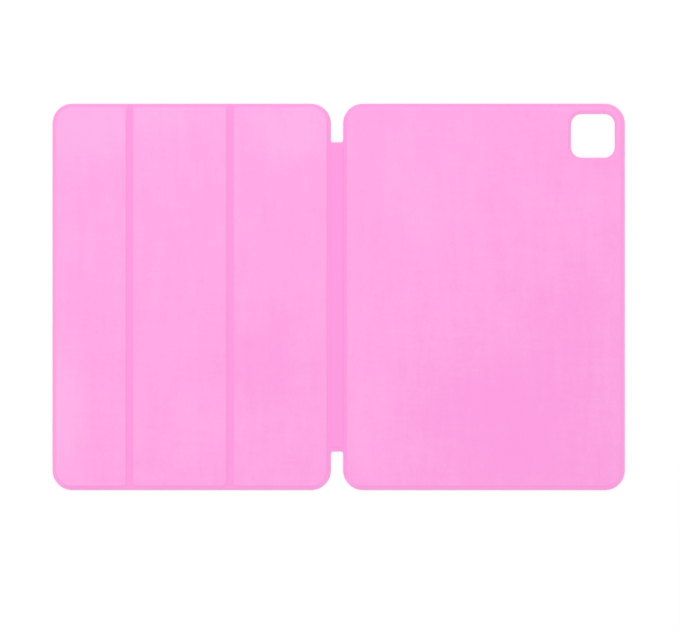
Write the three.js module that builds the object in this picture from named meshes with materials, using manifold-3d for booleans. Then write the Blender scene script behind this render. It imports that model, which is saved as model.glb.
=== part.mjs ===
// Trifold magnetic folio for an 11-inch-class tablet, open and flat, with its lining up.
// Millimetres. X runs across the open folio, Y along the spine, Z up out of the lining.
// The origin is under the middle of the open folio. The cover is on -X, the back panel on +X.
import * as THREE from "three";
import { mergeVertices } from "three/addons/utils/BufferGeometryUtils.js";
import Module from "manifold-3d";

// Outline of the open folio
const PANEL_HEIGHT = 248.6;
const COVER_WIDTH = 179.1;
const BACK_WIDTH = 181.2;
const SPINE_GAP = 8.2; // between the cover's edge and the back panel's edge
const SPINE_HEIGHT = 198.9;
const CORNER_RADIUS = 12.6;
const RIM_WIDTH = 2.25; // pressed rim with no board under the lining

// Camera window in the back panel
const WINDOW_SIZE = 28.6;
const WINDOW_RADIUS = 7.0;
const WINDOW_FROM_TOP = 20.5; // centre of the window from the panel's top edge
const WINDOW_FROM_SIDE = 20.4; // and from its outer side
const WINDOW_RIM = 1.4;

// Cover grooves, from the cover's free edge to the middle of the groove
const OUTER_GROOVE_AT = 49.65;
const INNER_GROOVE_AT = 114.35;
const OUTER_GROOVE_WIDTH = 4.2;
const INNER_GROOVE_WIDTH = 4.4;
const GROOVE_CORNER_RADIUS = 1.8;

// Layers, from the outer skin up to the lining
const SKIN = 0.6;
const GLUE = 0.05; // thin gap that the glue line takes between two layers
const BOARD = 1.15;
const LINING = 0.5;
const PRESSED_LINING = 0.45;
const TRAY_WALL = 0.45;
const BOARD_CLEARANCE = 0.1;

// Folding webs: thinner skin and lining, turning about a line in the middle of their thickness
const WEB_SKIN = 0.5;
const WEB_LIFT = 0.08; // underside of a web above the underside of the panels
const HINGE_SPACING = 10.2; // between the spine's two fold lines
const PANEL_TO_FOLD = 0.65; // free bend between a panel's edge and its fold line
const WEB_TO_FOLD = 0.15;
const SPINE_END_GAP = 0.3;

// Spine stiffener
const STIFFENER_WIDTH = 7.2;
const STIFFENER_END = 2.5; // from the end of the stiffener to the end of the spine
const STIFFENER = 0.5;

// Magnets and catch strips, in pockets in the boards
const POCKET_CLEARANCE = 0.3;
const MAGNET = 1.0;
const HOLDING_MAGNET = { width: 6, length: 24 };
const HOLDING_MAGNET_INSET = 22; // from the back panel's long edges
const HOLDING_MAGNET_PITCH = 44;
const CLOSING_MAGNET = { width: 5, length: 20 };
const CLOSING_MAGNET_INSET = 6.8; // from the cover's free edge
const CLOSING_MAGNET_PLACES = [-96, -58, 58, 96];
const WAKE_MAGNET_RADIUS = 3;
const WAKE_MAGNET_AT = 22;
const CATCH_STRIP = { width: 6, length: 58, thickness: 0.6 };
const CATCH_STRIP_INSET = 6.6; // from the cover's spine edge
const CATCH_STRIP_PLACES = [-54, 54];

// Places that follow from the sizes above
const COVER_LEFT = -(COVER_WIDTH + SPINE_GAP + BACK_WIDTH) / 2;
const COVER_RIGHT = COVER_LEFT + COVER_WIDTH;
const BACK_LEFT = COVER_RIGHT + SPINE_GAP;
const BACK_RIGHT = BACK_LEFT + BACK_WIDTH;
const SPINE_MIDDLE = (COVER_RIGHT + BACK_LEFT) / 2;
const COVER_FOLD = SPINE_MIDDLE - HINGE_SPACING / 2;
const BACK_FOLD = SPINE_MIDDLE + HINGE_SPACING / 2;
const HALF = PANEL_HEIGHT / 2;
const WINDOW_X = BACK_RIGHT - WINDOW_FROM_SIDE;
const WINDOW_Y = HALF - WINDOW_FROM_TOP;
const UNDER_BOARD = SKIN + GLUE;
const OVER_BOARD = UNDER_BOARD + BOARD;
const LINING_TOP = OVER_BOARD + GLUE + LINING;
const WEB_SPLIT = WEB_LIFT + WEB_SKIN;

const CURVE_SEGMENTS = 6;
const MORE = 1; // how far a cutting solid runs past the face that it cuts

const PINK_SKIN = { color: 0xf78bd2, roughness: 0.55, metalness: 0 };
const PINK_LINING = { color: 0xfea8e4, roughness: 0.95, metalness: 0 };
const GREY_BOARD = { color: 0xb9b4ab, roughness: 0.9, metalness: 0 };
const SPINE_FILM = { color: 0xe9e6e0, roughness: 0.6, metalness: 0 };
const NICKEL = { color: 0xc8c6c0, roughness: 0.3, metalness: 1 };
const STEEL = { color: 0x9b9da0, roughness: 0.4, metalness: 1 };

const wasm = await Module();
wasm.setup();

// A closed three.js geometry as a manifold-3d solid.
function solid(geometry) {
  const bare = geometry.clone();
  bare.deleteAttribute("normal");
  bare.deleteAttribute("uv");
  const merged = mergeVertices(bare, 1e-4);
  const mesh = new wasm.Mesh({
    numProp: 3,
    vertProperties: merged.attributes.position.array,
    triVerts: new Uint32Array(merged.index.array),
  });
  return new wasm.Manifold(mesh);
}

// A solid back as a flat-shaded three.js geometry.
function geometryOf(body) {
  const mesh = body.getMesh();
  const geometry = new THREE.BufferGeometry();
  geometry.setAttribute("position", new THREE.BufferAttribute(new Float32Array(mesh.vertProperties), 3));
  geometry.setIndex(new THREE.BufferAttribute(new Uint32Array(mesh.triVerts), 1));
  const flat = geometry.toNonIndexed();
  flat.computeVertexNormals();
  return flat;
}

function addPiece(group, name, body, look) {
  const mesh = new THREE.Mesh(geometryOf(body), new THREE.MeshStandardMaterial(look));
  mesh.name = name;
  group.add(mesh);
}

// A rectangle from left to right with its own radius at its left and at its right corners.
function rectangle(left, right, halfHeight, leftRadius, rightRadius) {
  const shape = new THREE.Shape();
  shape.moveTo(left + leftRadius, -halfHeight);
  shape.lineTo(right - rightRadius, -halfHeight);
  if (rightRadius > 0) {
    shape.absarc(right - rightRadius, rightRadius - halfHeight, rightRadius, -Math.PI / 2, 0);
  }
  shape.lineTo(right, halfHeight - rightRadius);
  if (rightRadius > 0) {
    shape.absarc(right - rightRadius, halfHeight - rightRadius, rightRadius, 0, Math.PI / 2);
  }
  shape.lineTo(left + leftRadius, halfHeight);
  if (leftRadius > 0) {
    shape.absarc(left + leftRadius, halfHeight - leftRadius, leftRadius, Math.PI / 2, Math.PI);
  }
  shape.lineTo(left, leftRadius - halfHeight);
  if (leftRadius > 0) {
    shape.absarc(left + leftRadius, leftRadius - halfHeight, leftRadius, Math.PI, Math.PI * 1.5);
  }
  return shape;
}

// A plate of the given outline from one height to another.
function plate(shape, low, high) {
  const depth = high - low;
  const options = { depth, bevelEnabled: false, curveSegments: CURVE_SEGMENTS };
  return solid(new THREE.ExtrudeGeometry(shape, options).translate(0, 0, low));
}

function block(width, length, height, x, y, low) {
  return solid(new THREE.BoxGeometry(width, length, height).translate(x, y, low + height / 2));
}

// The camera window, larger all round by the given amount.
function windowCutter(larger) {
  const half = WINDOW_SIZE / 2 + larger;
  const radius = WINDOW_RADIUS + larger;
  const outline = rectangle(-half, half, half, radius, radius);
  return plate(outline, -MORE, LINING_TOP + MORE).translate([WINDOW_X, WINDOW_Y, 0]);
}

// The long shallow recess in a panel's spine edge, where the folding web of the spine comes in.
function webRecess(from, to) {
  const length = SPINE_HEIGHT + 2 * SPINE_END_GAP;
  return block(to - from, length, LINING_TOP + 2 * MORE, (from + to) / 2, 0, -MORE);
}

// A panel: its outline, the raised area that the board fills, and what is cut through all its layers.
// A side with a rim keeps the pressed flange; a groove side has the raised area up to its edge.
function makePanel({ left, right, rimLeft, rimRight, recess, cameraWindow }) {
  const outlineRadius = (rim) => (rim ? CORNER_RADIUS : 0);
  const raisedRadius = (rim) => (rim ? CORNER_RADIUS - RIM_WIDTH : GROOVE_CORNER_RADIUS);
  const outline = rectangle(left, right, HALF, outlineRadius(rimLeft), outlineRadius(rimRight));
  const raised = (inset) =>
    rectangle(
      left + (rimLeft ? RIM_WIDTH : 0) + inset,
      right - (rimRight ? RIM_WIDTH : 0) - inset,
      HALF - RIM_WIDTH - inset,
      Math.max(raisedRadius(rimLeft) - inset, 0.5),
      Math.max(raisedRadius(rimRight) - inset, 0.5),
    );
  const finish = (body, windowMargin) => {
    const open = recess ? body.subtract(recess) : body;
    return cameraWindow ? open.subtract(windowCutter(windowMargin)) : open;
  };
  const skin = finish(plate(outline, 0, SKIN), 0);
  const flange = finish(plate(outline, UNDER_BOARD, UNDER_BOARD + PRESSED_LINING), 0);
  const crown = finish(plate(raised(0), UNDER_BOARD, LINING_TOP), WINDOW_RIM);
  const cavity = finish(plate(raised(TRAY_WALL), UNDER_BOARD - MORE, OVER_BOARD + GLUE), WINDOW_RIM + TRAY_WALL);
  const lining = flange.add(crown).subtract(cavity);
  const boardInset = TRAY_WALL + BOARD_CLEARANCE;
  const board = finish(plate(raised(boardInset), UNDER_BOARD, OVER_BOARD), WINDOW_RIM + boardInset);
  return { skin, lining, board };
}

// Cuts a pocket right through the board for each insert, and adds the inserts as pieces of their own.
function fitInserts(group, board, inserts) {
  let pocketed = board;
  for (const insert of inserts) {
    const { name, x, y, width, length, thickness, look } = insert;
    const low = UNDER_BOARD + (BOARD - thickness) / 2;
    const pocketWidth = width + 2 * POCKET_CLEARANCE;
    const pocketLength = length + 2 * POCKET_CLEARANCE;
    pocketed = pocketed.subtract(block(pocketWidth, pocketLength, BOARD + 2 * MORE, x, y, UNDER_BOARD - MORE));
    addPiece(group, name, block(width, length, thickness, x, y, low), look);
  }
  return pocketed;
}

// A folding web strip of skin or lining, set back from its two fold lines.
function webStrip(from, to, halfHeight, low, high) {
  return plate(rectangle(from + WEB_TO_FOLD, to - WEB_TO_FOLD, halfHeight, 0, 0), low, high);
}

function makeBackPanel() {
  const group = new THREE.Group();
  const panel = makePanel({
    left: BACK_LEFT,
    right: BACK_RIGHT,
    rimLeft: true,
    rimRight: true,
    recess: webRecess(BACK_LEFT - MORE, BACK_FOLD + PANEL_TO_FOLD),
    cameraWindow: true,
  });
  const magnets = [];
  const columns = [
    ["spine_side", BACK_LEFT + HOLDING_MAGNET_INSET],
    ["camera_side", BACK_RIGHT - HOLDING_MAGNET_INSET],
  ];
  for (const [side, x] of columns) {
    for (let row = 0; row < 4; row += 1) {
      const y = (1.5 - row) * HOLDING_MAGNET_PITCH;
      const name = `holding_magnet_${side}_${row + 1}`;
      magnets.push({ name, x, y, ...HOLDING_MAGNET, thickness: MAGNET, look: NICKEL });
    }
  }
  addPiece(group, "back_outer_skin", panel.skin, PINK_SKIN);
  addPiece(group, "back_board", fitInserts(group, panel.board, magnets), GREY_BOARD);
  addPiece(group, "back_lining", panel.lining, PINK_LINING);
  return group;
}

function makeSpine() {
  const group = new THREE.Group();
  const half = SPINE_HEIGHT / 2;
  const stiffenerHalf = half - STIFFENER_END;
  const stiffenerTop = WEB_SPLIT + GLUE + STIFFENER;
  const low = WEB_SPLIT + GLUE;
  const strip = (margin, from, to) => {
    const halfWidth = STIFFENER_WIDTH / 2 + margin;
    const outline = rectangle(SPINE_MIDDLE - halfWidth, SPINE_MIDDLE + halfWidth, stiffenerHalf + margin, 0, 0);
    return plate(outline, from, to);
  };
  const flange = webStrip(COVER_FOLD, BACK_FOLD, half, low, low + PRESSED_LINING);
  const crown = strip(TRAY_WALL + BOARD_CLEARANCE, low, stiffenerTop + GLUE + PRESSED_LINING);
  const cavity = strip(BOARD_CLEARANCE, low - MORE, stiffenerTop + GLUE);
  addPiece(group, "spine_outer_skin", webStrip(COVER_FOLD, BACK_FOLD, half, WEB_LIFT, WEB_SPLIT), PINK_SKIN);
  addPiece(group, "spine_stiffener", strip(0, low, stiffenerTop), SPINE_FILM);
  addPiece(group, "spine_lining", flange.add(crown).subtract(cavity), PINK_LINING);
  return group;
}

// One groove of the cover: a narrow folding web between the raised areas on its two sides.
function makeFoldWeb(name, middle, width) {
  const group = new THREE.Group();
  const from = middle - width / 2 + PANEL_TO_FOLD;
  const to = middle + width / 2 - PANEL_TO_FOLD;
  const low = WEB_SPLIT + GLUE;
  addPiece(group, `${name}_skin`, webStrip(from, to, HALF, WEB_LIFT, WEB_SPLIT), PINK_SKIN);
  addPiece(group, `${name}_lining`, webStrip(from, to, HALF, low, low + PRESSED_LINING), PINK_LINING);
  return group;
}

function makeCover() {
  const cover = new THREE.Group();
  const outerGroove = COVER_LEFT + OUTER_GROOVE_AT;
  const innerGroove = COVER_LEFT + INNER_GROOVE_AT;

  const outer = makePanel({
    left: COVER_LEFT,
    right: outerGroove - OUTER_GROOVE_WIDTH / 2,
    rimLeft: true,
    rimRight: false,
  });
  const closingX = COVER_LEFT + CLOSING_MAGNET_INSET;
  const closing = CLOSING_MAGNET_PLACES.map((y, index) => ({
    name: `closing_magnet_${index + 1}`,
    x: closingX,
    y,
    ...CLOSING_MAGNET,
    thickness: MAGNET,
    look: NICKEL,
  }));
  const wakeHole = new THREE.CylinderGeometry(
    WAKE_MAGNET_RADIUS + POCKET_CLEARANCE,
    WAKE_MAGNET_RADIUS + POCKET_CLEARANCE,
    BOARD + 2 * MORE,
    24,
  );
  const wakeDisc = new THREE.CylinderGeometry(WAKE_MAGNET_RADIUS, WAKE_MAGNET_RADIUS, MAGNET, 24);
  const upright = (geometry) =>
    solid(geometry.rotateX(Math.PI / 2).translate(closingX, WAKE_MAGNET_AT, UNDER_BOARD + BOARD / 2));
  const outerBoard = fitInserts(cover, outer.board, closing).subtract(upright(wakeHole));
  addPiece(cover, "wake_magnet", upright(wakeDisc), NICKEL);
  addPiece(cover, "outer_panel_skin", outer.skin, PINK_SKIN);
  addPiece(cover, "outer_panel_board", outerBoard, GREY_BOARD);
  addPiece(cover, "outer_panel_lining", outer.lining, PINK_LINING);

  cover.add(makeFoldWeb("outer_fold", outerGroove, OUTER_GROOVE_WIDTH));

  const middle = makePanel({
    left: outerGroove + OUTER_GROOVE_WIDTH / 2,
    right: innerGroove - INNER_GROOVE_WIDTH / 2,
    rimLeft: false,
    rimRight: false,
  });
  addPiece(cover, "middle_panel_skin", middle.skin, PINK_SKIN);
  addPiece(cover, "middle_panel_board", middle.board, GREY_BOARD);
  addPiece(cover, "middle_panel_lining", middle.lining, PINK_LINING);

  cover.add(makeFoldWeb("inner_fold", innerGroove, INNER_GROOVE_WIDTH));

  const inner = makePanel({
    left: innerGroove + INNER_GROOVE_WIDTH / 2,
    right: COVER_RIGHT,
    rimLeft: false,
    rimRight: true,
    recess: webRecess(COVER_FOLD - PANEL_TO_FOLD, COVER_RIGHT + MORE),
  });
  const catches = CATCH_STRIP_PLACES.map((y, index) => ({
    name: `stand_catch_strip_${index + 1}`,
    x: COVER_RIGHT - CATCH_STRIP_INSET,
    y,
    ...CATCH_STRIP,
    look: STEEL,
  }));
  addPiece(cover, "inner_panel_skin", inner.skin, PINK_SKIN);
  addPiece(cover, "inner_panel_board", fitInserts(cover, inner.board, catches), GREY_BOARD);
  addPiece(cover, "inner_panel_lining", inner.lining, PINK_LINING);
  return cover;
}

const folio = new THREE.Group();
folio.add(makeBackPanel(), makeSpine(), makeCover());

export default folio;
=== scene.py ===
import bmesh
import bpy
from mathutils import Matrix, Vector


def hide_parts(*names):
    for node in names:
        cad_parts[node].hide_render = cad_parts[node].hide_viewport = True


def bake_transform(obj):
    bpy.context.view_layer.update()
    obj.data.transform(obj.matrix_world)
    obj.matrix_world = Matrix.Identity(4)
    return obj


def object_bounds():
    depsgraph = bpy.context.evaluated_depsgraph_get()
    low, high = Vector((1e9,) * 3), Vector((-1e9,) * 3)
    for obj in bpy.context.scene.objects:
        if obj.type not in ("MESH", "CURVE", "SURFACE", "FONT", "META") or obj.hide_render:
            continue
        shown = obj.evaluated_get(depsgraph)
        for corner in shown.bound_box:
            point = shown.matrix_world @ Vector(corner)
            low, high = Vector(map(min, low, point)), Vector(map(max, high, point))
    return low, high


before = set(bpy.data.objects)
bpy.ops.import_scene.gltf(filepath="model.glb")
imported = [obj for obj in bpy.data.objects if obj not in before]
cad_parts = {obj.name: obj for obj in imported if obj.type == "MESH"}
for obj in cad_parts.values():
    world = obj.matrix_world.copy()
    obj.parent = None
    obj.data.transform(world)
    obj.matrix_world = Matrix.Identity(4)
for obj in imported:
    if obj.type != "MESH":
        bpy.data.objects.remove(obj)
cad_low, cad_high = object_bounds()


# The four boards. They are grey pressed fibreboard a little over a millimetre thick, die cut, and glued
# between the outer skin and the lining. They are what makes the cover and the back panel stiff.
FIBRE_GREY = (0.300, 0.285, 0.262, 1.0)
FIBRE_DARK = (0.150, 0.138, 0.120, 1.0)
FIBRE_SCALES = (420.0, 2600.0)
FIBRE_ROUGHNESS = (0.82, 0.95)
FIBRE_RELIEF = (0.0001, 0.6)


def new_material(name):
    """A node material, its node tree and its shader."""
    material = bpy.data.materials.new(name)
    material.use_nodes = True
    tree = material.node_tree
    return material, tree, tree.nodes["Principled BSDF"]


def add_node(tree, kind, settings=None, inputs=None):
    """A node with its settings and the values or links of its inputs."""
    node = tree.nodes.new(kind)
    for key, value in (settings or {}).items():
        setattr(node, key, value)
    for key, value in (inputs or {}).items():
        if isinstance(value, bpy.types.NodeSocket):
            tree.links.new(value, node.inputs[key])
        else:
            node.inputs[key].default_value = value
    return node


def tone_between(tree, share, low, high):
    """The colour from low to high that a share from 0 to 1 picks."""
    return add_node(
        tree, "ShaderNodeMix", {"data_type": "RGBA"}, {"Factor": share, "A": low, "B": high}
    ).outputs["Result"]


def noise(tree, place, scale, detail, roughness):
    """Noise from 0 to 1 on a place, at a scale per metre."""
    return add_node(
        tree,
        "ShaderNodeTexNoise",
        {},
        {"Vector": place, "Scale": scale, "Detail": detail, "Roughness": roughness},
    ).outputs["Fac"]


def make_speckle_group():
    """Fine speckle of two scales, as of fibres or nap: a share from 0 to 1, round a half."""
    group = bpy.data.node_groups.new("speckle", "ShaderNodeTree")
    face = group.interface
    face.new_socket("Place", in_out="INPUT", socket_type="NodeSocketVector")
    face.new_socket("Coarse", in_out="INPUT", socket_type="NodeSocketFloat")
    face.new_socket("Fine", in_out="INPUT", socket_type="NodeSocketFloat")
    face.new_socket("Share", in_out="OUTPUT", socket_type="NodeSocketFloat")
    taken = group.nodes.new("NodeGroupInput")
    given = group.nodes.new("NodeGroupOutput")
    coarse = noise(group, taken.outputs["Place"], taken.outputs["Coarse"], 3.0, 0.6)
    fine = noise(group, taken.outputs["Place"], taken.outputs["Fine"], 1.0, 0.5)
    both = add_node(
        group, "ShaderNodeMix", {"data_type": "FLOAT"}, {"Factor": 0.5, "A": coarse, "B": fine}
    )
    group.links.new(both.outputs["Result"], given.inputs["Share"])
    return group


speckle_group = make_speckle_group()


def speckle(tree, place, coarse, fine):
    """The speckle group placed in a material, on a place and with two scales per metre."""
    return add_node(
        tree,
        "ShaderNodeGroup",
        {"node_tree": speckle_group},
        {"Place": place, "Coarse": coarse, "Fine": fine},
    ).outputs["Share"]


def spread(tree, share, low, high, to_low=0.0, to_high=1.0):
    """A share mapped from low and high to two other values, and no further."""
    return add_node(
        tree,
        "ShaderNodeMapRange",
        {"clamp": True},
        {"Value": share, "From Min": low, "From Max": high, "To Min": to_low, "To Max": to_high},
    ).outputs["Result"]


def give_bump(tree, shader, height, depth, strength):
    """Relief of a depth in metres on the shader's normal."""
    bump = add_node(
        tree, "ShaderNodeBump", {}, {"Height": height, "Distance": depth, "Strength": strength}
    )
    tree.links.new(bump.outputs["Normal"], shader.inputs["Normal"])


def make_speckled(name, dark, light, scales, roughness, relief, metallic=0.0, stretch=(1.0, 1.0, 1.0)):
    """A material whose tone, roughness and relief all follow one speckle.
    scales are the speckle's two scales, roughness is the lowest and the highest, relief is a depth and a
    strength, and stretch is how the speckle is drawn out."""
    material, tree, shader = new_material(name)
    place = add_node(tree, "ShaderNodeTexCoord").outputs["Object"]
    place = add_node(tree, "ShaderNodeMapping", {}, {"Vector": place, "Scale": stretch}).outputs["Vector"]
    grain = speckle(tree, place, *scales)
    tone = tone_between(tree, spread(tree, grain, 0.35, 0.65), dark, light)
    tree.links.new(tone, shader.inputs["Base Color"])
    tree.links.new(spread(tree, grain, 0.3, 0.7, *roughness), shader.inputs["Roughness"])
    shader.inputs["Metallic"].default_value = metallic
    give_bump(tree, shader, grain, *relief)
    return material


def wear(material, nodes):
    """The material on every slot of the carried-over nodes."""
    for node in nodes:
        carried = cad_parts[node]
        carried.data.materials.clear()
        carried.data.materials.append(material)


wear(
    make_speckled("fibreboard", FIBRE_DARK, FIBRE_GREY, FIBRE_SCALES, FIBRE_ROUGHNESS, FIBRE_RELIEF),
    ["back_board", "inner_panel_board", "middle_panel_board", "outer_panel_board"],
)


# The spine's stiffener: a strip of milky plastic sheet, half a millimetre thick, with square-cut ends. It
# keeps the spine flat between its two fold lines.
MILKY = (0.640, 0.630, 0.600, 1.0)
MILKY_SHADE = (0.520, 0.512, 0.485, 1.0)
MILKY_SCALES = (60.0, 1500.0)
MILKY_ROUGHNESS = (0.42, 0.55)
MILKY_RELIEF = (0.00005, 0.3)

wear(
    make_speckled("milky_plastic_strip", MILKY_SHADE, MILKY, MILKY_SCALES, MILKY_ROUGHNESS, MILKY_RELIEF),
    ["spine_stiffener"],
)


# The magnets: eight blocks in the back panel that hold the tablet, four on the cover's free edge that hold it
# shut, and a small disc that wakes the tablet. They are nickel plated and pressed into pockets in the boards.
NICKEL = (0.620, 0.605, 0.575, 1.0)
NICKEL_DULL = (0.400, 0.392, 0.378, 1.0)
NICKEL_SCALES = (500.0, 3000.0)
NICKEL_ROUGHNESS = (0.24, 0.42)
NICKEL_RELIEF = (0.00002, 0.4)
MAGNET_ROWS = range(1, 5)

wear(
    make_speckled(
        "nickel_plate", NICKEL_DULL, NICKEL, NICKEL_SCALES, NICKEL_ROUGHNESS, NICKEL_RELIEF, metallic=1.0
    ),
    [f"holding_magnet_spine_side_{row}" for row in MAGNET_ROWS]
    + [f"holding_magnet_camera_side_{row}" for row in MAGNET_ROWS]
    + [f"closing_magnet_{row}" for row in MAGNET_ROWS]
    + ["wake_magnet"],
)


# The two catch strips: thin rolled steel in the panel next to the spine. The free edge's magnets stick to
# them when the cover is folded into a stand. The steel shows its rolling lines along the strip.
STEEL = (0.560, 0.570, 0.580, 1.0)
STEEL_DULL = (0.370, 0.378, 0.386, 1.0)
STEEL_SCALES = (900.0, 4000.0)
STEEL_ROUGHNESS = (0.28, 0.45)
STEEL_RELIEF = (0.00002, 0.4)
ROLLED_ALONG = (1.0, 0.04, 1.0)

wear(
    make_speckled(
        "rolled_steel",
        STEEL_DULL,
        STEEL,
        STEEL_SCALES,
        STEEL_ROUGHNESS,
        STEEL_RELIEF,
        metallic=1.0,
        stretch=ROLLED_ALONG,
    ),
    ["stand_catch_strip_1", "stand_catch_strip_2"],
)


# The outer skin: one sheet of pebbled synthetic leather under the whole folio, with softly rounded cut edges.
# Where there is no board behind it, at the rim, the grooves and the spine, it is heat pressed a quarter of a
# millimetre deeper. It is shaped as one sheet and then parted on flat places, into a piece for each fold.

# Both sheets are drawn in millimetres, as they lie open and flat. Their pieces are made metres at the end.
MM = 0.001
FREE_EDGE = round(cad_low[0] / MM, 2)
FAR_EDGE = round(cad_high[0] / MM, 2)
TOP = round(cad_high[1] / MM, 2)
COVER_EDGE = FREE_EDGE + 179.1
BACK_EDGE = COVER_EDGE + 8.2
SPINE_MIDDLE = (COVER_EDGE + BACK_EDGE) / 2
SPINE_TOP = 99.45
CORNER = 12.6
NOTCH_CORNER = 1.3

# The open folio's outline, as its corners with their radii, anticlockwise.
OUTLINE = [
    (FREE_EDGE, -TOP, CORNER),
    (COVER_EDGE, -TOP, CORNER),
    (COVER_EDGE, -SPINE_TOP, NOTCH_CORNER),
    (BACK_EDGE, -SPINE_TOP, NOTCH_CORNER),
    (BACK_EDGE, -TOP, CORNER),
    (FAR_EDGE, -TOP, CORNER),
    (FAR_EDGE, TOP, CORNER),
    (BACK_EDGE, TOP, CORNER),
    (BACK_EDGE, SPINE_TOP, NOTCH_CORNER),
    (COVER_EDGE, SPINE_TOP, NOTCH_CORNER),
    (COVER_EDGE, TOP, CORNER),
    (FREE_EDGE, TOP, CORNER),
]

# The pressed rim, and the middle and half width of the cover's two pressed grooves.
RIM = 2.25
OUTER_GROOVE = FREE_EDGE + 49.65
OUTER_HALF = 2.1
INNER_GROOVE = FREE_EDGE + 114.35
INNER_HALF = 2.2

# Each panel's raised area, from its left edge to its right edge, with the radius of its left and right
# corners.
RAISED_TOP = TOP - RIM
PANEL_CORNER = CORNER - RIM
GROOVE_CORNER = 2.6
RAISED_AREAS = {
    "outer": (FREE_EDGE + RIM, OUTER_GROOVE - OUTER_HALF, PANEL_CORNER, GROOVE_CORNER),
    "middle": (OUTER_GROOVE + OUTER_HALF, INNER_GROOVE - INNER_HALF, GROOVE_CORNER, GROOVE_CORNER),
    "inner": (INNER_GROOVE + INNER_HALF, COVER_EDGE - RIM, GROOVE_CORNER, PANEL_CORNER),
    "back": (BACK_EDGE + RIM, FAR_EDGE - RIM, PANEL_CORNER, PANEL_CORNER),
}

# The camera window in the back panel's top right corner, and the low raised strip along the spine.
WINDOW_MIDDLE = (FAR_EDGE - 20.4, TOP - 20.5)
WINDOW_HALF = 14.3
WINDOW_CORNER = 7.0
WINDOW_RIM = 1.4
STRIP_HALF_WIDTH = 4.75
STRIP_HALF_LENGTH = 98.1
STRIP_CORNER = 2.8


def bend_beside(middle, far, near):
    """The stretches that bend on the right and on the left of a middle line, each from right to left."""
    return [(middle + far, middle + near), (middle - near, middle - far)]


# The stretch of sheet that bends at each of the six folds, from the back panel to the free edge: at the two
# sides of the spine, of the inner groove and of the outer groove. Each is cut across for the bend.
FOLDS = (
    bend_beside(SPINE_MIDDLE, 6.1, 4.2)
    + bend_beside(INNER_GROOVE, INNER_HALF - 0.15, INNER_HALF - 1.15)
    + bend_beside(OUTER_GROOVE, OUTER_HALF - 0.15, OUTER_HALF - 1.15)
)
BEND_CUTS = 8

# Where the sheets are parted: the spine's middle, each groove's middle, and on the panel beside each groove.
BESIDE_GROOVE = 10.0
PARTINGS = [
    SPINE_MIDDLE,
    INNER_GROOVE + INNER_HALF + BESIDE_GROOVE,
    INNER_GROOVE,
    OUTER_GROOVE + OUTER_HALF + BESIDE_GROOVE,
    OUTER_GROOVE,
]

# A narrow flat border runs inside every cut edge, and the cut edges, which are the sheet's sharpest, are
# rounded. An edge over the sharp angle isn't shaded smooth. Angles are in radians.
BORDER = 0.3
CUT_EDGE_ANGLE = 1.4
CUT_EDGE_ROUNDING = 0.1
SHARP_ANGLE = 1.0

# A wide corner is drawn with more segments than a tight one, and points that are this close become one.
WIDE_CORNER = 4.0
WIDE_CORNER_SEGMENTS = 14
TIGHT_CORNER_SEGMENTS = 6
MERGE_DISTANCE = 0.002


def rounded_face(bm, corners, height, inset=0.0):
    """A level face with rounded corners; corners are (x, y, radius), anticlockwise, drawn in by inset."""
    known = set(bm.faces)
    verts = []
    by_radius = {}
    for i, (x, y, radius) in enumerate(corners):
        here = Vector((x, y))
        arrive = (here - Vector(corners[i - 1][:2])).normalized()
        leave = (Vector(corners[(i + 1) % len(corners)][:2]) - here).normalized()
        inward = Vector((-arrive.y - leave.y, arrive.x + leave.x))
        place = here + inset * inward
        vert = bm.verts.new((place.x, place.y, height))
        verts.append(vert)
        turn = arrive.x * leave.y - arrive.y * leave.x
        by_radius.setdefault(round(radius - turn * inset, 4), []).append(vert)
    bm.faces.new(verts)
    for radius, same in by_radius.items():
        bmesh.ops.bevel(
            bm,
            geom=same,
            offset=radius,
            segments=WIDE_CORNER_SEGMENTS if radius > WIDE_CORNER else TIGHT_CORNER_SEGMENTS,
            profile=0.5,
            affect="VERTICES",
            material=-1,
        )
    face = next(face for face in bm.faces if face not in known)
    face.normal_update()
    return face


def rectangle(left, right, bottom, top, left_corner, right_corner):
    """The corners of an upright rectangle, anticlockwise, with the radius of each."""
    return [
        (left, bottom, left_corner),
        (right, bottom, right_corner),
        (right, top, right_corner),
        (left, top, left_corner),
    ]


def step_in(bm, face, steps):
    """The face narrowed and lifted in steps, with a ring of faces round it at each.
    It gives the outermost edges."""
    outer = []
    for narrower, higher in steps:
        ring = bmesh.ops.inset_individual(
            bm, faces=[face], thickness=narrower, depth=higher, use_even_offset=True
        )["faces"]
        outer = outer or [edge for side in ring for edge in side.edges if edge.is_boundary]
    return outer


def fill_level(bm, edges):
    """A level face, in triangles, between the edges of an outline and of the holes in it."""
    bmesh.ops.triangle_fill(bm, edges=edges, use_beauty=True, normal=(0.0, 0.0, 1.0))


def press_window(bm, crown, inset, base, foot, wall):
    """The camera window cut through the back panel's crown, with a pressed rim and a wall round it."""
    wall_width = sum(narrower for narrower, higher in wall)
    wall_height = sum(higher for narrower, higher in wall)
    half = WINDOW_HALF + WINDOW_RIM
    corner = WINDOW_CORNER + WINDOW_RIM
    across, along = WINDOW_MIDDLE
    corners = rectangle(across - half, across + half, along - half, along + half, corner, corner)
    window = rounded_face(bm, corners, base + wall_height, foot - wall_width)
    crown_edges = list(crown.edges)
    crown_edges += step_in(bm, window, [(narrower, -higher) for narrower, higher in reversed(wall)])
    step_in(bm, window, [(WINDOW_RIM - foot - BORDER - inset, 0.0), (BORDER, 0.0)])
    bmesh.ops.delete(bm, geom=[window, crown], context="FACES_ONLY")
    fill_level(bm, crown_edges)


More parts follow.
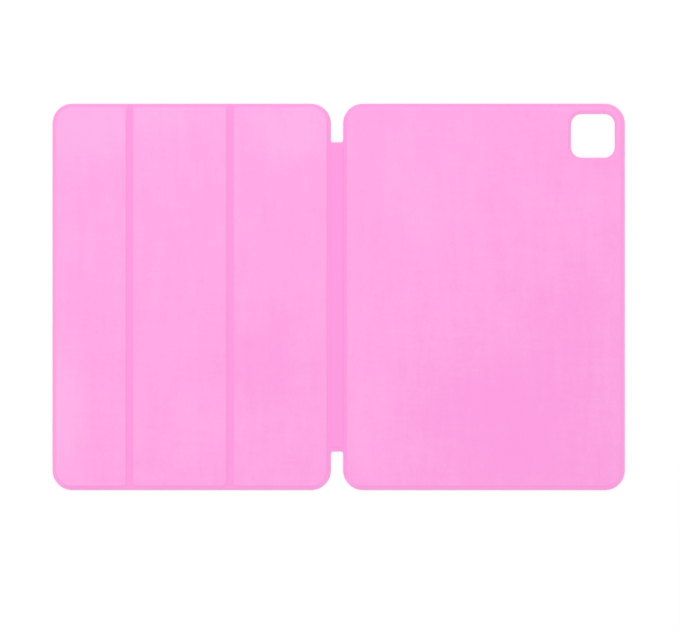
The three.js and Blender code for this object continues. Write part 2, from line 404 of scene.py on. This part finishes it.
def thicken(bm, thickness):
    """The open face made a closed shell with rounded cut edges."""
    bmesh.ops.recalc_face_normals(bm, faces=bm.faces[:])
    if sum(face.normal.z * face.calc_area() for face in bm.faces) < 0:
        bmesh.ops.reverse_faces(bm, faces=bm.faces[:])
    shell = bmesh.ops.extrude_face_region(bm, geom=bm.faces[:], use_keep_orig=True)
    bm.normal_update()
    for item in shell["geom"]:
        if isinstance(item, bmesh.types.BMVert):
            item.co -= thickness * item.normal
    bmesh.ops.recalc_face_normals(bm, faces=bm.faces[:])
    bmesh.ops.bevel(
        bm,
        geom=[edge for edge in bm.edges if edge.calc_face_angle(0.0) > CUT_EDGE_ANGLE],
        offset=CUT_EDGE_ROUNDING,
        segments=2,
        profile=0.5,
        affect="EDGES",
        material=-1,
    )


def bisect(bm, place, outward=1.0, clear_outer=False):
    """The sheet cut from top to bottom at a place across it; gives the new edges."""
    cut = bmesh.ops.bisect_plane(
        bm,
        geom=bm.verts[:] + bm.edges[:] + bm.faces[:],
        plane_co=(place, 0.0, 0.0),
        plane_no=(outward, 0.0, 0.0),
        clear_outer=clear_outer,
    )
    return [item for item in cut["geom_cut"] if isinstance(item, bmesh.types.BMEdge)]


def pressed_sheet(inset, base, foot, wall, strip_wall, thickness):
    """The whole sheet as one closed solid, in millimetres, raised side up.
    wall and strip_wall are the rising edges of the panels and of the spine, steps of (narrower, higher), and
    foot is how far outside a raised area's edge its wall begins."""
    bm = bmesh.new()
    border = rounded_face(bm, OUTLINE, base, inset)
    step_in(bm, border, [(BORDER, 0.0)])
    level_edges = list(border.edges)
    bmesh.ops.delete(bm, geom=[border], context="FACES_ONLY")

    crowns = {}
    for panel, (left, right, left_corner, right_corner) in RAISED_AREAS.items():
        corners = rectangle(left, right, -RAISED_TOP, RAISED_TOP, left_corner, right_corner)
        crowns[panel] = rounded_face(bm, corners, base, -foot)
        level_edges += step_in(bm, crowns[panel], wall)

    left, right = SPINE_MIDDLE - STRIP_HALF_WIDTH, SPINE_MIDDLE + STRIP_HALF_WIDTH
    corners = rectangle(left, right, -STRIP_HALF_LENGTH, STRIP_HALF_LENGTH, STRIP_CORNER, STRIP_CORNER)
    strip = rounded_face(bm, corners, base)
    level_edges += step_in(bm, strip, strip_wall)
    fill_level(bm, level_edges)

    press_window(bm, crowns["back"], inset, base, foot, wall)
    thicken(bm, thickness)
    for start, end in FOLDS:
        for cut in range(BEND_CUTS + 1):
            bisect(bm, start + (end - start) * cut / BEND_CUTS)
    bmesh.ops.remove_doubles(bm, verts=bm.verts[:], dist=MERGE_DISTANCE)
    return bm


def part_sheet(whole, number):
    """Piece number 0 to 5 of the whole sheet, counted from the back panel, closed where it is cut."""
    bm = whole.copy()
    sides = []
    if number > 0:
        sides.append((PARTINGS[number - 1], 1.0))
    if number < len(PARTINGS):
        sides.append((PARTINGS[number], -1.0))
    for place, outward in sides:
        rim = bisect(bm, place, outward, clear_outer=True)
        bmesh.ops.triangle_fill(bm, edges=rim, use_beauty=True)
    return bm


def finish_sheet_piece(bm, name, material):
    """The piece in metres, shaded smooth but where it is parted, and with its places on the flat sheet."""
    bmesh.ops.scale(bm, vec=(MM, MM, MM), verts=bm.verts[:])
    bmesh.ops.recalc_face_normals(bm, faces=bm.faces[:])
    place = bm.verts.layers.float_vector.new("cloth_place")
    for vert in bm.verts:
        vert[place] = vert.co
    for face in bm.faces:
        face.smooth = True
    for edge in bm.edges:
        edge.smooth = edge.calc_face_angle(0.0) < SHARP_ANGLE
    mesh = bpy.data.meshes.new(name)
    bm.to_mesh(mesh)
    bm.free()
    mesh.materials.append(material)
    piece = bpy.data.objects.new(name, mesh)
    bpy.context.collection.objects.link(piece)
    return piece


# For each piece of a sheet, from the back panel to the free edge: its name, the bodies on the two sides of
# its fold, its flat size and what is under it.
SHEET_PIECES = [
    ("back", "back_panel", "spine", (0.1853, 0.2486), ["back_board", "spine_stiffener"]),
    ("inner_panel", "spine", "inner_panel", (0.0567, 0.2486), ["spine_stiffener", "inner_panel_board"]),
    ("inner_groove", "inner_panel", "inner_fold", (0.0122, 0.2486), ["inner_panel_board"]),
    ("middle_panel", "inner_fold", "middle_panel", (0.0526, 0.2486), ["middle_panel_board"]),
    ("outer_groove", "middle_panel", "outer_fold", (0.0121, 0.2486), ["middle_panel_board"]),
    ("outer_panel", "outer_fold", "outer_panel", (0.0497, 0.2486), ["outer_panel_board"]),
]


def lay_sheet(whole, layer, material, stands_for):
    """The six pieces of a sheet, one for each fold."""
    for number, (name, before, after, flat, under) in enumerate(SHEET_PIECES):
        piece = finish_sheet_piece(part_sheet(whole, number), f"{name}_{layer}", material)
        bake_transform(piece)
        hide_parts(*stands_for[number])
    whole.free()


SKIN_BASE = -0.25
SKIN_FOOT = 0.35
SKIN_THICKNESS = 0.42
SKIN_WALL = [(0.1, 0.0), (0.15, 0.03), (0.25, 0.09), (0.25, 0.08), (0.3, 0.04), (0.3, 0.01), (0.15, 0.0)]
SKIN_STRIP_WALL = [(0.2, 0.03), (0.3, 0.08), (0.4, 0.09), (0.4, 0.04), (0.5, 0.01), (0.3, 0.0)]
SKIN_PINK = (0.860, 0.305, 0.640, 1.0)
SKIN_DEEP = (0.790, 0.235, 0.555, 1.0)
SKIN_PORE_TINT = (0.78, 0.62, 0.72, 1.0)
SKIN_PEBBLES_PER_METRE = 1500.0
SKIN_PORE_SCALES = (320.0, 2400.0)
SKIN_HANDLING_SCALE = 22.0
SKIN_PRESSED_HEIGHTS = (0.00004, 0.00022)
SKIN_ROUGHNESS = (0.40, 0.52)
SKIN_RELIEF = (0.00014, 0.8)

# The nodes that each piece of the skin stands for.
SKIN_STANDS_FOR = [
    ["back_outer_skin", "spine_outer_skin"],
    ["inner_panel_skin", "spine_outer_skin"],
    ["inner_panel_skin", "inner_fold_skin"],
    ["middle_panel_skin", "inner_fold_skin"],
    ["middle_panel_skin", "outer_fold_skin"],
    ["outer_panel_skin", "outer_fold_skin"],
]


def work_out(tree, operation, *values):
    """The result of a calculation on one to three numbers or links."""
    return add_node(
        tree, "ShaderNodeMath", {"operation": operation}, dict(enumerate(values))
    ).outputs["Value"]


def make_synthetic_leather():
    """Pebbled and porous, a little uneven from handling, and deeper in tone where it is pressed."""
    material, tree, shader = new_material("synthetic_leather")
    place = add_node(tree, "ShaderNodeAttribute", {"attribute_name": "cloth_place"}).outputs["Vector"]
    apart = add_node(tree, "ShaderNodeSeparateXYZ", {}, {"Vector": place})
    pebbles = add_node(
        tree,
        "ShaderNodeTexVoronoi",
        {"feature": "SMOOTH_F1"},
        {"Vector": place, "Scale": SKIN_PEBBLES_PER_METRE, "Smoothness": 0.35},
    ).outputs["Distance"]
    pores = speckle(tree, place, *SKIN_PORE_SCALES)
    handling = noise(tree, place, SKIN_HANDLING_SCALE, 4.0, 0.55)
    pressed = spread(tree, apart.outputs["Z"], *SKIN_PRESSED_HEIGHTS)
    shade = work_out(tree, "MULTIPLY_ADD", pressed, -0.45, spread(tree, handling, 0.3, 0.7, 0.72, 1.0))
    speckled = add_node(
        tree,
        "ShaderNodeMix",
        {"data_type": "RGBA", "blend_type": "MULTIPLY"},
        {
            "Factor": spread(tree, pores, 0.35, 0.6, 0.22, 0.0),
            "A": tone_between(tree, shade, SKIN_DEEP, SKIN_PINK),
            "B": SKIN_PORE_TINT,
        },
    )
    tree.links.new(speckled.outputs["Result"], shader.inputs["Base Color"])
    tree.links.new(spread(tree, handling, 0.3, 0.7, *SKIN_ROUGHNESS), shader.inputs["Roughness"])
    grain = work_out(tree, "MULTIPLY_ADD", pebbles, 1.2, pores)
    give_bump(tree, shader, grain, *SKIN_RELIEF)
    return material


# The skin's raised side faces down, so the finished sheet is turned over.
whole_skin = pressed_sheet(0.0, SKIN_BASE, SKIN_FOOT, SKIN_WALL, SKIN_STRIP_WALL, SKIN_THICKNESS)
bmesh.ops.scale(whole_skin, vec=(1.0, 1.0, -1.0), verts=whole_skin.verts[:])
bmesh.ops.reverse_faces(whole_skin, faces=whole_skin.faces[:])
lay_sheet(whole_skin, "leather", make_synthetic_leather(), SKIN_STANDS_FOR)


# The lining: one sheet of matt microfibre, pulled over the boards as a shallow tray and heat pressed onto the
# skin at the rim, the grooves and the spine, where its nap is flattened and looks deeper pink. On the panels
# the nap lies unevenly, in soft clouds and faint upright streaks. It is cut a little smaller than the skin.
LINING_INSET = 0.15
LINING_BASE = 1.10
LINING_THICKNESS = 0.36
LINING_FOOT = 0.85
LINING_WALL = [
    (0.10, 0.00),
    (0.20, 0.03),
    (0.25, 0.14),
    (0.20, 0.23),
    (0.15, 0.28),
    (0.15, 0.24),
    (0.22, 0.18),
    (0.33, 0.11),
    (0.35, 0.04),
    (0.10, 0.00),
]
LINING_STRIP_WALL = [
    (0.20, 0.03),
    (0.30, 0.13),
    (0.40, 0.19),
    (0.35, 0.10),
    (0.45, 0.06),
    (0.50, 0.02),
    (0.30, 0.00),
]

# The nodes that each piece of the lining stands for.
LINING_STANDS_FOR = [
    ["back_lining", "spine_lining"],
    ["inner_panel_lining", "spine_lining"],
    ["inner_panel_lining", "inner_fold_lining"],
    ["middle_panel_lining", "inner_fold_lining"],
    ["middle_panel_lining", "outer_fold_lining"],
    ["outer_panel_lining", "outer_fold_lining"],
]

# The nap's tones on the panels and where it is pressed; the tone where it is pressed hardest in a fold, also
# painted on the bottom rim as painted shade; and a paler tone painted on the walls as painted light.
NAP_LIGHT = (0.970, 0.412, 0.766, 1.0)
NAP_DARK = (0.945, 0.322, 0.716, 1.0)
NAP_PRESSED = (0.945, 0.353, 0.729, 1.0)
NAP_WALL_PAINTED_LIGHT = (0.980, 0.422, 0.778, 1.0)
NAP_FOLDED_AND_SHADED = (0.935, 0.292, 0.705, 1.0)
NAP_SHEEN = (1.0, 0.72, 0.9, 1.0)
NAP_SCALES = (520.0, 1700.0)
NAP_ROUGHNESS = (0.86, 0.96)
NAP_RELIEF = (0.00012, 0.45)

# Where the sheet folds, the nap is pressed hardest: the middle and the half width of the spine and of the two
# grooves. The rim along the bottom is painted nearly as dark, as painted shade, more and more from one place
# to the other.
FOLD_BANDS = [(SPINE_MIDDLE, 5.9), (INNER_GROOVE, 2.1), (OUTER_GROOVE, 2.0)]
FOLD_PRESS = 0.72
BOTTOM_RIM_PAINTED_SHADE = ((3.8 - TOP) * MM, (2.1 - TOP) * MM)
BOTTOM_RIM_SHADE = 0.70

# Heights on the sheet, in metres, between which one tone turns into the next: out of a fold, from pressed to
# raised, and into and out of the paler tone painted on a wall as painted light.
FOLD_HEIGHTS = (0.00112, 0.00135)
RAISED_HEIGHTS = (0.00113, 0.00234)
WALL_FOOT_HEIGHTS = (0.00112, 0.00130)
WALL_HEAD_HEIGHTS = (0.00230, 0.00195)

# Soft patches, lighter or darker, partly the nap's own uneven lie and partly painted light and shade: place,
# half width and half height in metres, and how much.
NAP_AND_LIGHT_PATCHES = [
    (-0.178, -0.076, 0.020, 0.064, 0.36),
    (-0.160, 0.108, 0.044, 0.034, 0.20),
    (-0.030, 0.108, 0.036, 0.026, 0.28),
    (-0.090, -0.080, 0.026, 0.030, 0.14),
    (-0.048, -0.040, 0.036, 0.045, -0.20),
    (0.020, -0.085, 0.022, 0.055, 0.12),
    (0.060, 0.070, 0.050, 0.060, 0.12),
    (0.105, -0.072, 0.060, 0.052, -0.22),
    (0.146, -0.020, 0.034, 0.060, -0.14),
    (0.052, -0.066, 0.030, 0.034, -0.08),
    (0.125, -0.108, 0.060, 0.030, -0.10),
    (-0.105, 0.118, 0.070, 0.024, 0.12),
]
PATCH_STRENGTH = 1.6
PATCH_REACH = 1.25

# The sum of the nap's lie and the painted light, where it looks darkest and where it looks lightest.
NAP_LIE_AND_LIGHT_RANGE = (1.08, 2.08)


def make_nap_lie_and_painted_light(tree, place, apart, nap):
    """How the nap lies on the panels, with painted light that makes it lighter towards the top left: a share
    from 0, dark, to 1, light.
    """

    def threads(stretch, scale):
        run = add_node(tree, "ShaderNodeMapping", {}, {"Vector": place, "Scale": stretch}).outputs["Vector"]
        return noise(tree, run, scale, 4.0, 0.62)

    clouds = noise(tree, place, 40.0, 5.0, 0.6)
    upright = threads((1.0, 0.16, 1.0), 190.0)
    across = threads((0.16, 1.0, 1.0), 260.0)
    # Painted light: the tone is made lighter towards the top and towards the left of the sheet.
    painted_light_across = apart.outputs["X"]
    painted_light_upward = apart.outputs["Y"]
    weights = [(clouds, 0.56), (upright, 0.72), (across, 0.44), (nap, 1.36)]
    weights += [(painted_light_across, -0.55), (painted_light_upward, 0.90)]
    lie_and_light = 0.0
    for share, weight in weights:
        lie_and_light = work_out(tree, "MULTIPLY_ADD", share, weight, lie_and_light)
    for x, y, half_width, half_height, amount in NAP_AND_LIGHT_PATCHES:
        near = add_node(
            tree,
            "ShaderNodeMapping",
            {"vector_type": "TEXTURE"},
            {"Vector": place, "Location": (x, y, 0.0), "Scale": (half_width, half_height, 1.0)},
        ).outputs["Vector"]
        reach = add_node(tree, "ShaderNodeVectorMath", {"operation": "LENGTH"}, {0: near})
        soft = add_node(
            tree,
            "ShaderNodeMapRange",
            {"interpolation_type": "SMOOTHERSTEP"},
            {"Value": reach.outputs["Value"], "From Min": PATCH_REACH, "From Max": 0.0},
        ).outputs["Result"]
        lie_and_light = work_out(tree, "MULTIPLY_ADD", soft, amount * PATCH_STRENGTH, lie_and_light)
    return spread(tree, lie_and_light, *NAP_LIE_AND_LIGHT_RANGE)


def make_fold_band(tree, across, middle, half_width):
    """How hard the nap is pressed by one fold, across the sheet."""
    away = work_out(tree, "ABSOLUTE", work_out(tree, "SUBTRACT", across, middle * MM))
    return spread(tree, away, half_width * MM + 0.0003, half_width * MM - 0.0002, 0.0, FOLD_PRESS)


def make_microfibre():
    """The nap's tone on the panels and in the pressed places, with painted light: walls painted paler and the
    bottom rim painted darker.
    """
    material, tree, shader = new_material("microfibre")
    place = add_node(tree, "ShaderNodeAttribute", {"attribute_name": "cloth_place"}).outputs["Vector"]
    apart = add_node(tree, "ShaderNodeSeparateXYZ", {}, {"Vector": place})
    height = apart.outputs["Z"]
    nap = speckle(tree, place, *NAP_SCALES)
    on_panels = tone_between(tree, make_nap_lie_and_painted_light(tree, place, apart, nap), NAP_DARK, NAP_LIGHT)

    bands = [make_fold_band(tree, apart.outputs["X"], middle, half) for middle, half in FOLD_BANDS]
    # Painted shade: the bottom rim is painted darker, more and more towards the bottom edge.
    folded_and_shaded = spread(tree, apart.outputs["Y"], *BOTTOM_RIM_PAINTED_SHADE, 0.0, BOTTOM_RIM_SHADE)
    for band in bands:
        folded_and_shaded = work_out(tree, "MAXIMUM", folded_and_shaded, band)
    deepened = work_out(tree, "MULTIPLY", folded_and_shaded, spread(tree, height, *FOLD_HEIGHTS, 0.7, 1.0))
    pressed = tone_between(tree, deepened, NAP_PRESSED, NAP_FOLDED_AND_SHADED)

    lifted = work_out(tree, "POWER", spread(tree, height, *RAISED_HEIGHTS), 1.9)
    lifted = work_out(tree, "MULTIPLY", lifted, spread(tree, folded_and_shaded, 0.3, 0.7, 1.0, 0.0))
    tone = tone_between(tree, lifted, pressed, on_panels)

    # Painted light: away from the spine, the walls are painted paler from their foot to near their head, to
    # lift the shade that falls on them.
    above_foot = spread(tree, height, *WALL_FOOT_HEIGHTS)
    below_head = spread(tree, height, *WALL_HEAD_HEIGHTS, 0.0, 0.55)
    off_spine = spread(tree, bands[0], 0.2, 0.6, 1.0, 0.0)
    wall_painted_light = work_out(tree, "MULTIPLY", work_out(tree, "MULTIPLY", above_foot, below_head), off_spine)
    tone = tone_between(tree, wall_painted_light, tone, NAP_WALL_PAINTED_LIGHT)

    tree.links.new(tone, shader.inputs["Base Color"])
    tree.links.new(spread(tree, nap, 0.3, 0.7, *NAP_ROUGHNESS), shader.inputs["Roughness"])
    shader.inputs["Specular IOR Level"].default_value = 0.25
    shader.inputs["Sheen Weight"].default_value = 0.12
    shader.inputs["Sheen Roughness"].default_value = 0.6
    shader.inputs["Sheen Tint"].default_value = NAP_SHEEN
    give_bump(tree, shader, nap, *NAP_RELIEF)
    return material


whole_lining = pressed_sheet(
    LINING_INSET, LINING_BASE, LINING_FOOT, LINING_WALL, LINING_STRIP_WALL, LINING_THICKNESS
)
lay_sheet(whole_lining, "microfibre", make_microfibre(), LINING_STANDS_FOR)


# The floor: a large sheet of plain white paper that the folio lies on, lit until it is white. It lies a hair
# below the folio's underside, so that the two never share a surface.
FLOOR_HALF = 4.0
FLOOR_DROP = 0.00005
PAPER_WHITE = (0.93, 0.93, 0.93, 1.0)
PAPER_FIBRE = (0.925, 0.925, 0.925, 1.0)


def make_paper():
    """Matt white with faint fibres, and a slight glow that keeps it white at its far end."""
    material, tree, shader = new_material("white_paper")
    place = add_node(tree, "ShaderNodeTexCoord").outputs["Object"]
    pulp = speckle(tree, place, 90.0, 900.0)
    tree.links.new(tone_between(tree, pulp, PAPER_FIBRE, PAPER_WHITE), shader.inputs["Base Color"])
    shader.inputs["Roughness"].default_value = 0.95
    shader.inputs["Specular IOR Level"].default_value = 0.1
    shader.inputs["Emission Color"].default_value = (1.0, 1.0, 1.0, 1.0)
    shader.inputs["Emission Strength"].default_value = 0.06
    return material


floor_mesh = bpy.data.meshes.new("paper_floor")
floor_bm = bmesh.new()
bmesh.ops.create_grid(floor_bm, x_segments=1, y_segments=1, size=FLOOR_HALF)
bmesh.ops.translate(floor_bm, vec=(0.0, 0.0, -FLOOR_DROP), verts=floor_bm.verts[:])
floor_bm.to_mesh(floor_mesh)
floor_bm.free()
floor_mesh.materials.append(make_paper())
paper_floor = bpy.data.objects.new("paper_floor", floor_mesh)
bpy.context.collection.objects.link(paper_floor)


# The studio: white all round, which gives most of the light, and one large softbox above and beyond the top
# left corner, so that the steps of the panels that face away from it fall a little darker.
STUDIO_STRENGTH = 0.835
SOFTBOX_PLACE = (-0.25, 0.45, 1.50)
SOFTBOX_SIZE = 0.8
SOFTBOX_POWER = 6.3

world = bpy.data.worlds.new("studio")
world.use_nodes = True
world.node_tree.nodes["Background"].inputs["Color"].default_value = (1.0, 1.0, 1.0, 1.0)
world.node_tree.nodes["Background"].inputs["Strength"].default_value = STUDIO_STRENGTH
bpy.context.scene.world = world

lamp = bpy.data.lights.new("softbox", "AREA")
lamp.shape = "SQUARE"
lamp.size = SOFTBOX_SIZE
lamp.energy = SOFTBOX_POWER
softbox = bpy.data.objects.new("softbox", lamp)
softbox.location = SOFTBOX_PLACE
softbox.rotation_euler = (-Vector(SOFTBOX_PLACE)).to_track_quat("-Z", "Y").to_euler()
bpy.context.collection.objects.link(softbox)


# The camera: straight above on a long lens, over a point a little nearer the bottom edge than the middle. The
# lens makes the picture as wide as the seen width, at the height of the lining.
CAMERA_HEIGHT = 1.6
CAMERA_PLACE = (0.0009, -0.0117)
SENSOR_WIDTH = 36.0
SEEN_WIDTH = 0.4377

camera_data = bpy.data.cameras.new("camera")
camera_data.sensor_width = SENSOR_WIDTH
camera_data.lens = SENSOR_WIDTH * CAMERA_HEIGHT / SEEN_WIDTH
camera = bpy.data.objects.new("camera", camera_data)
camera.location = (*CAMERA_PLACE, cad_high[2] + CAMERA_HEIGHT)
bpy.context.collection.objects.link(camera)
bpy.context.scene.camera = camera
bpy.context.scene.view_settings.view_transform = "Standard"
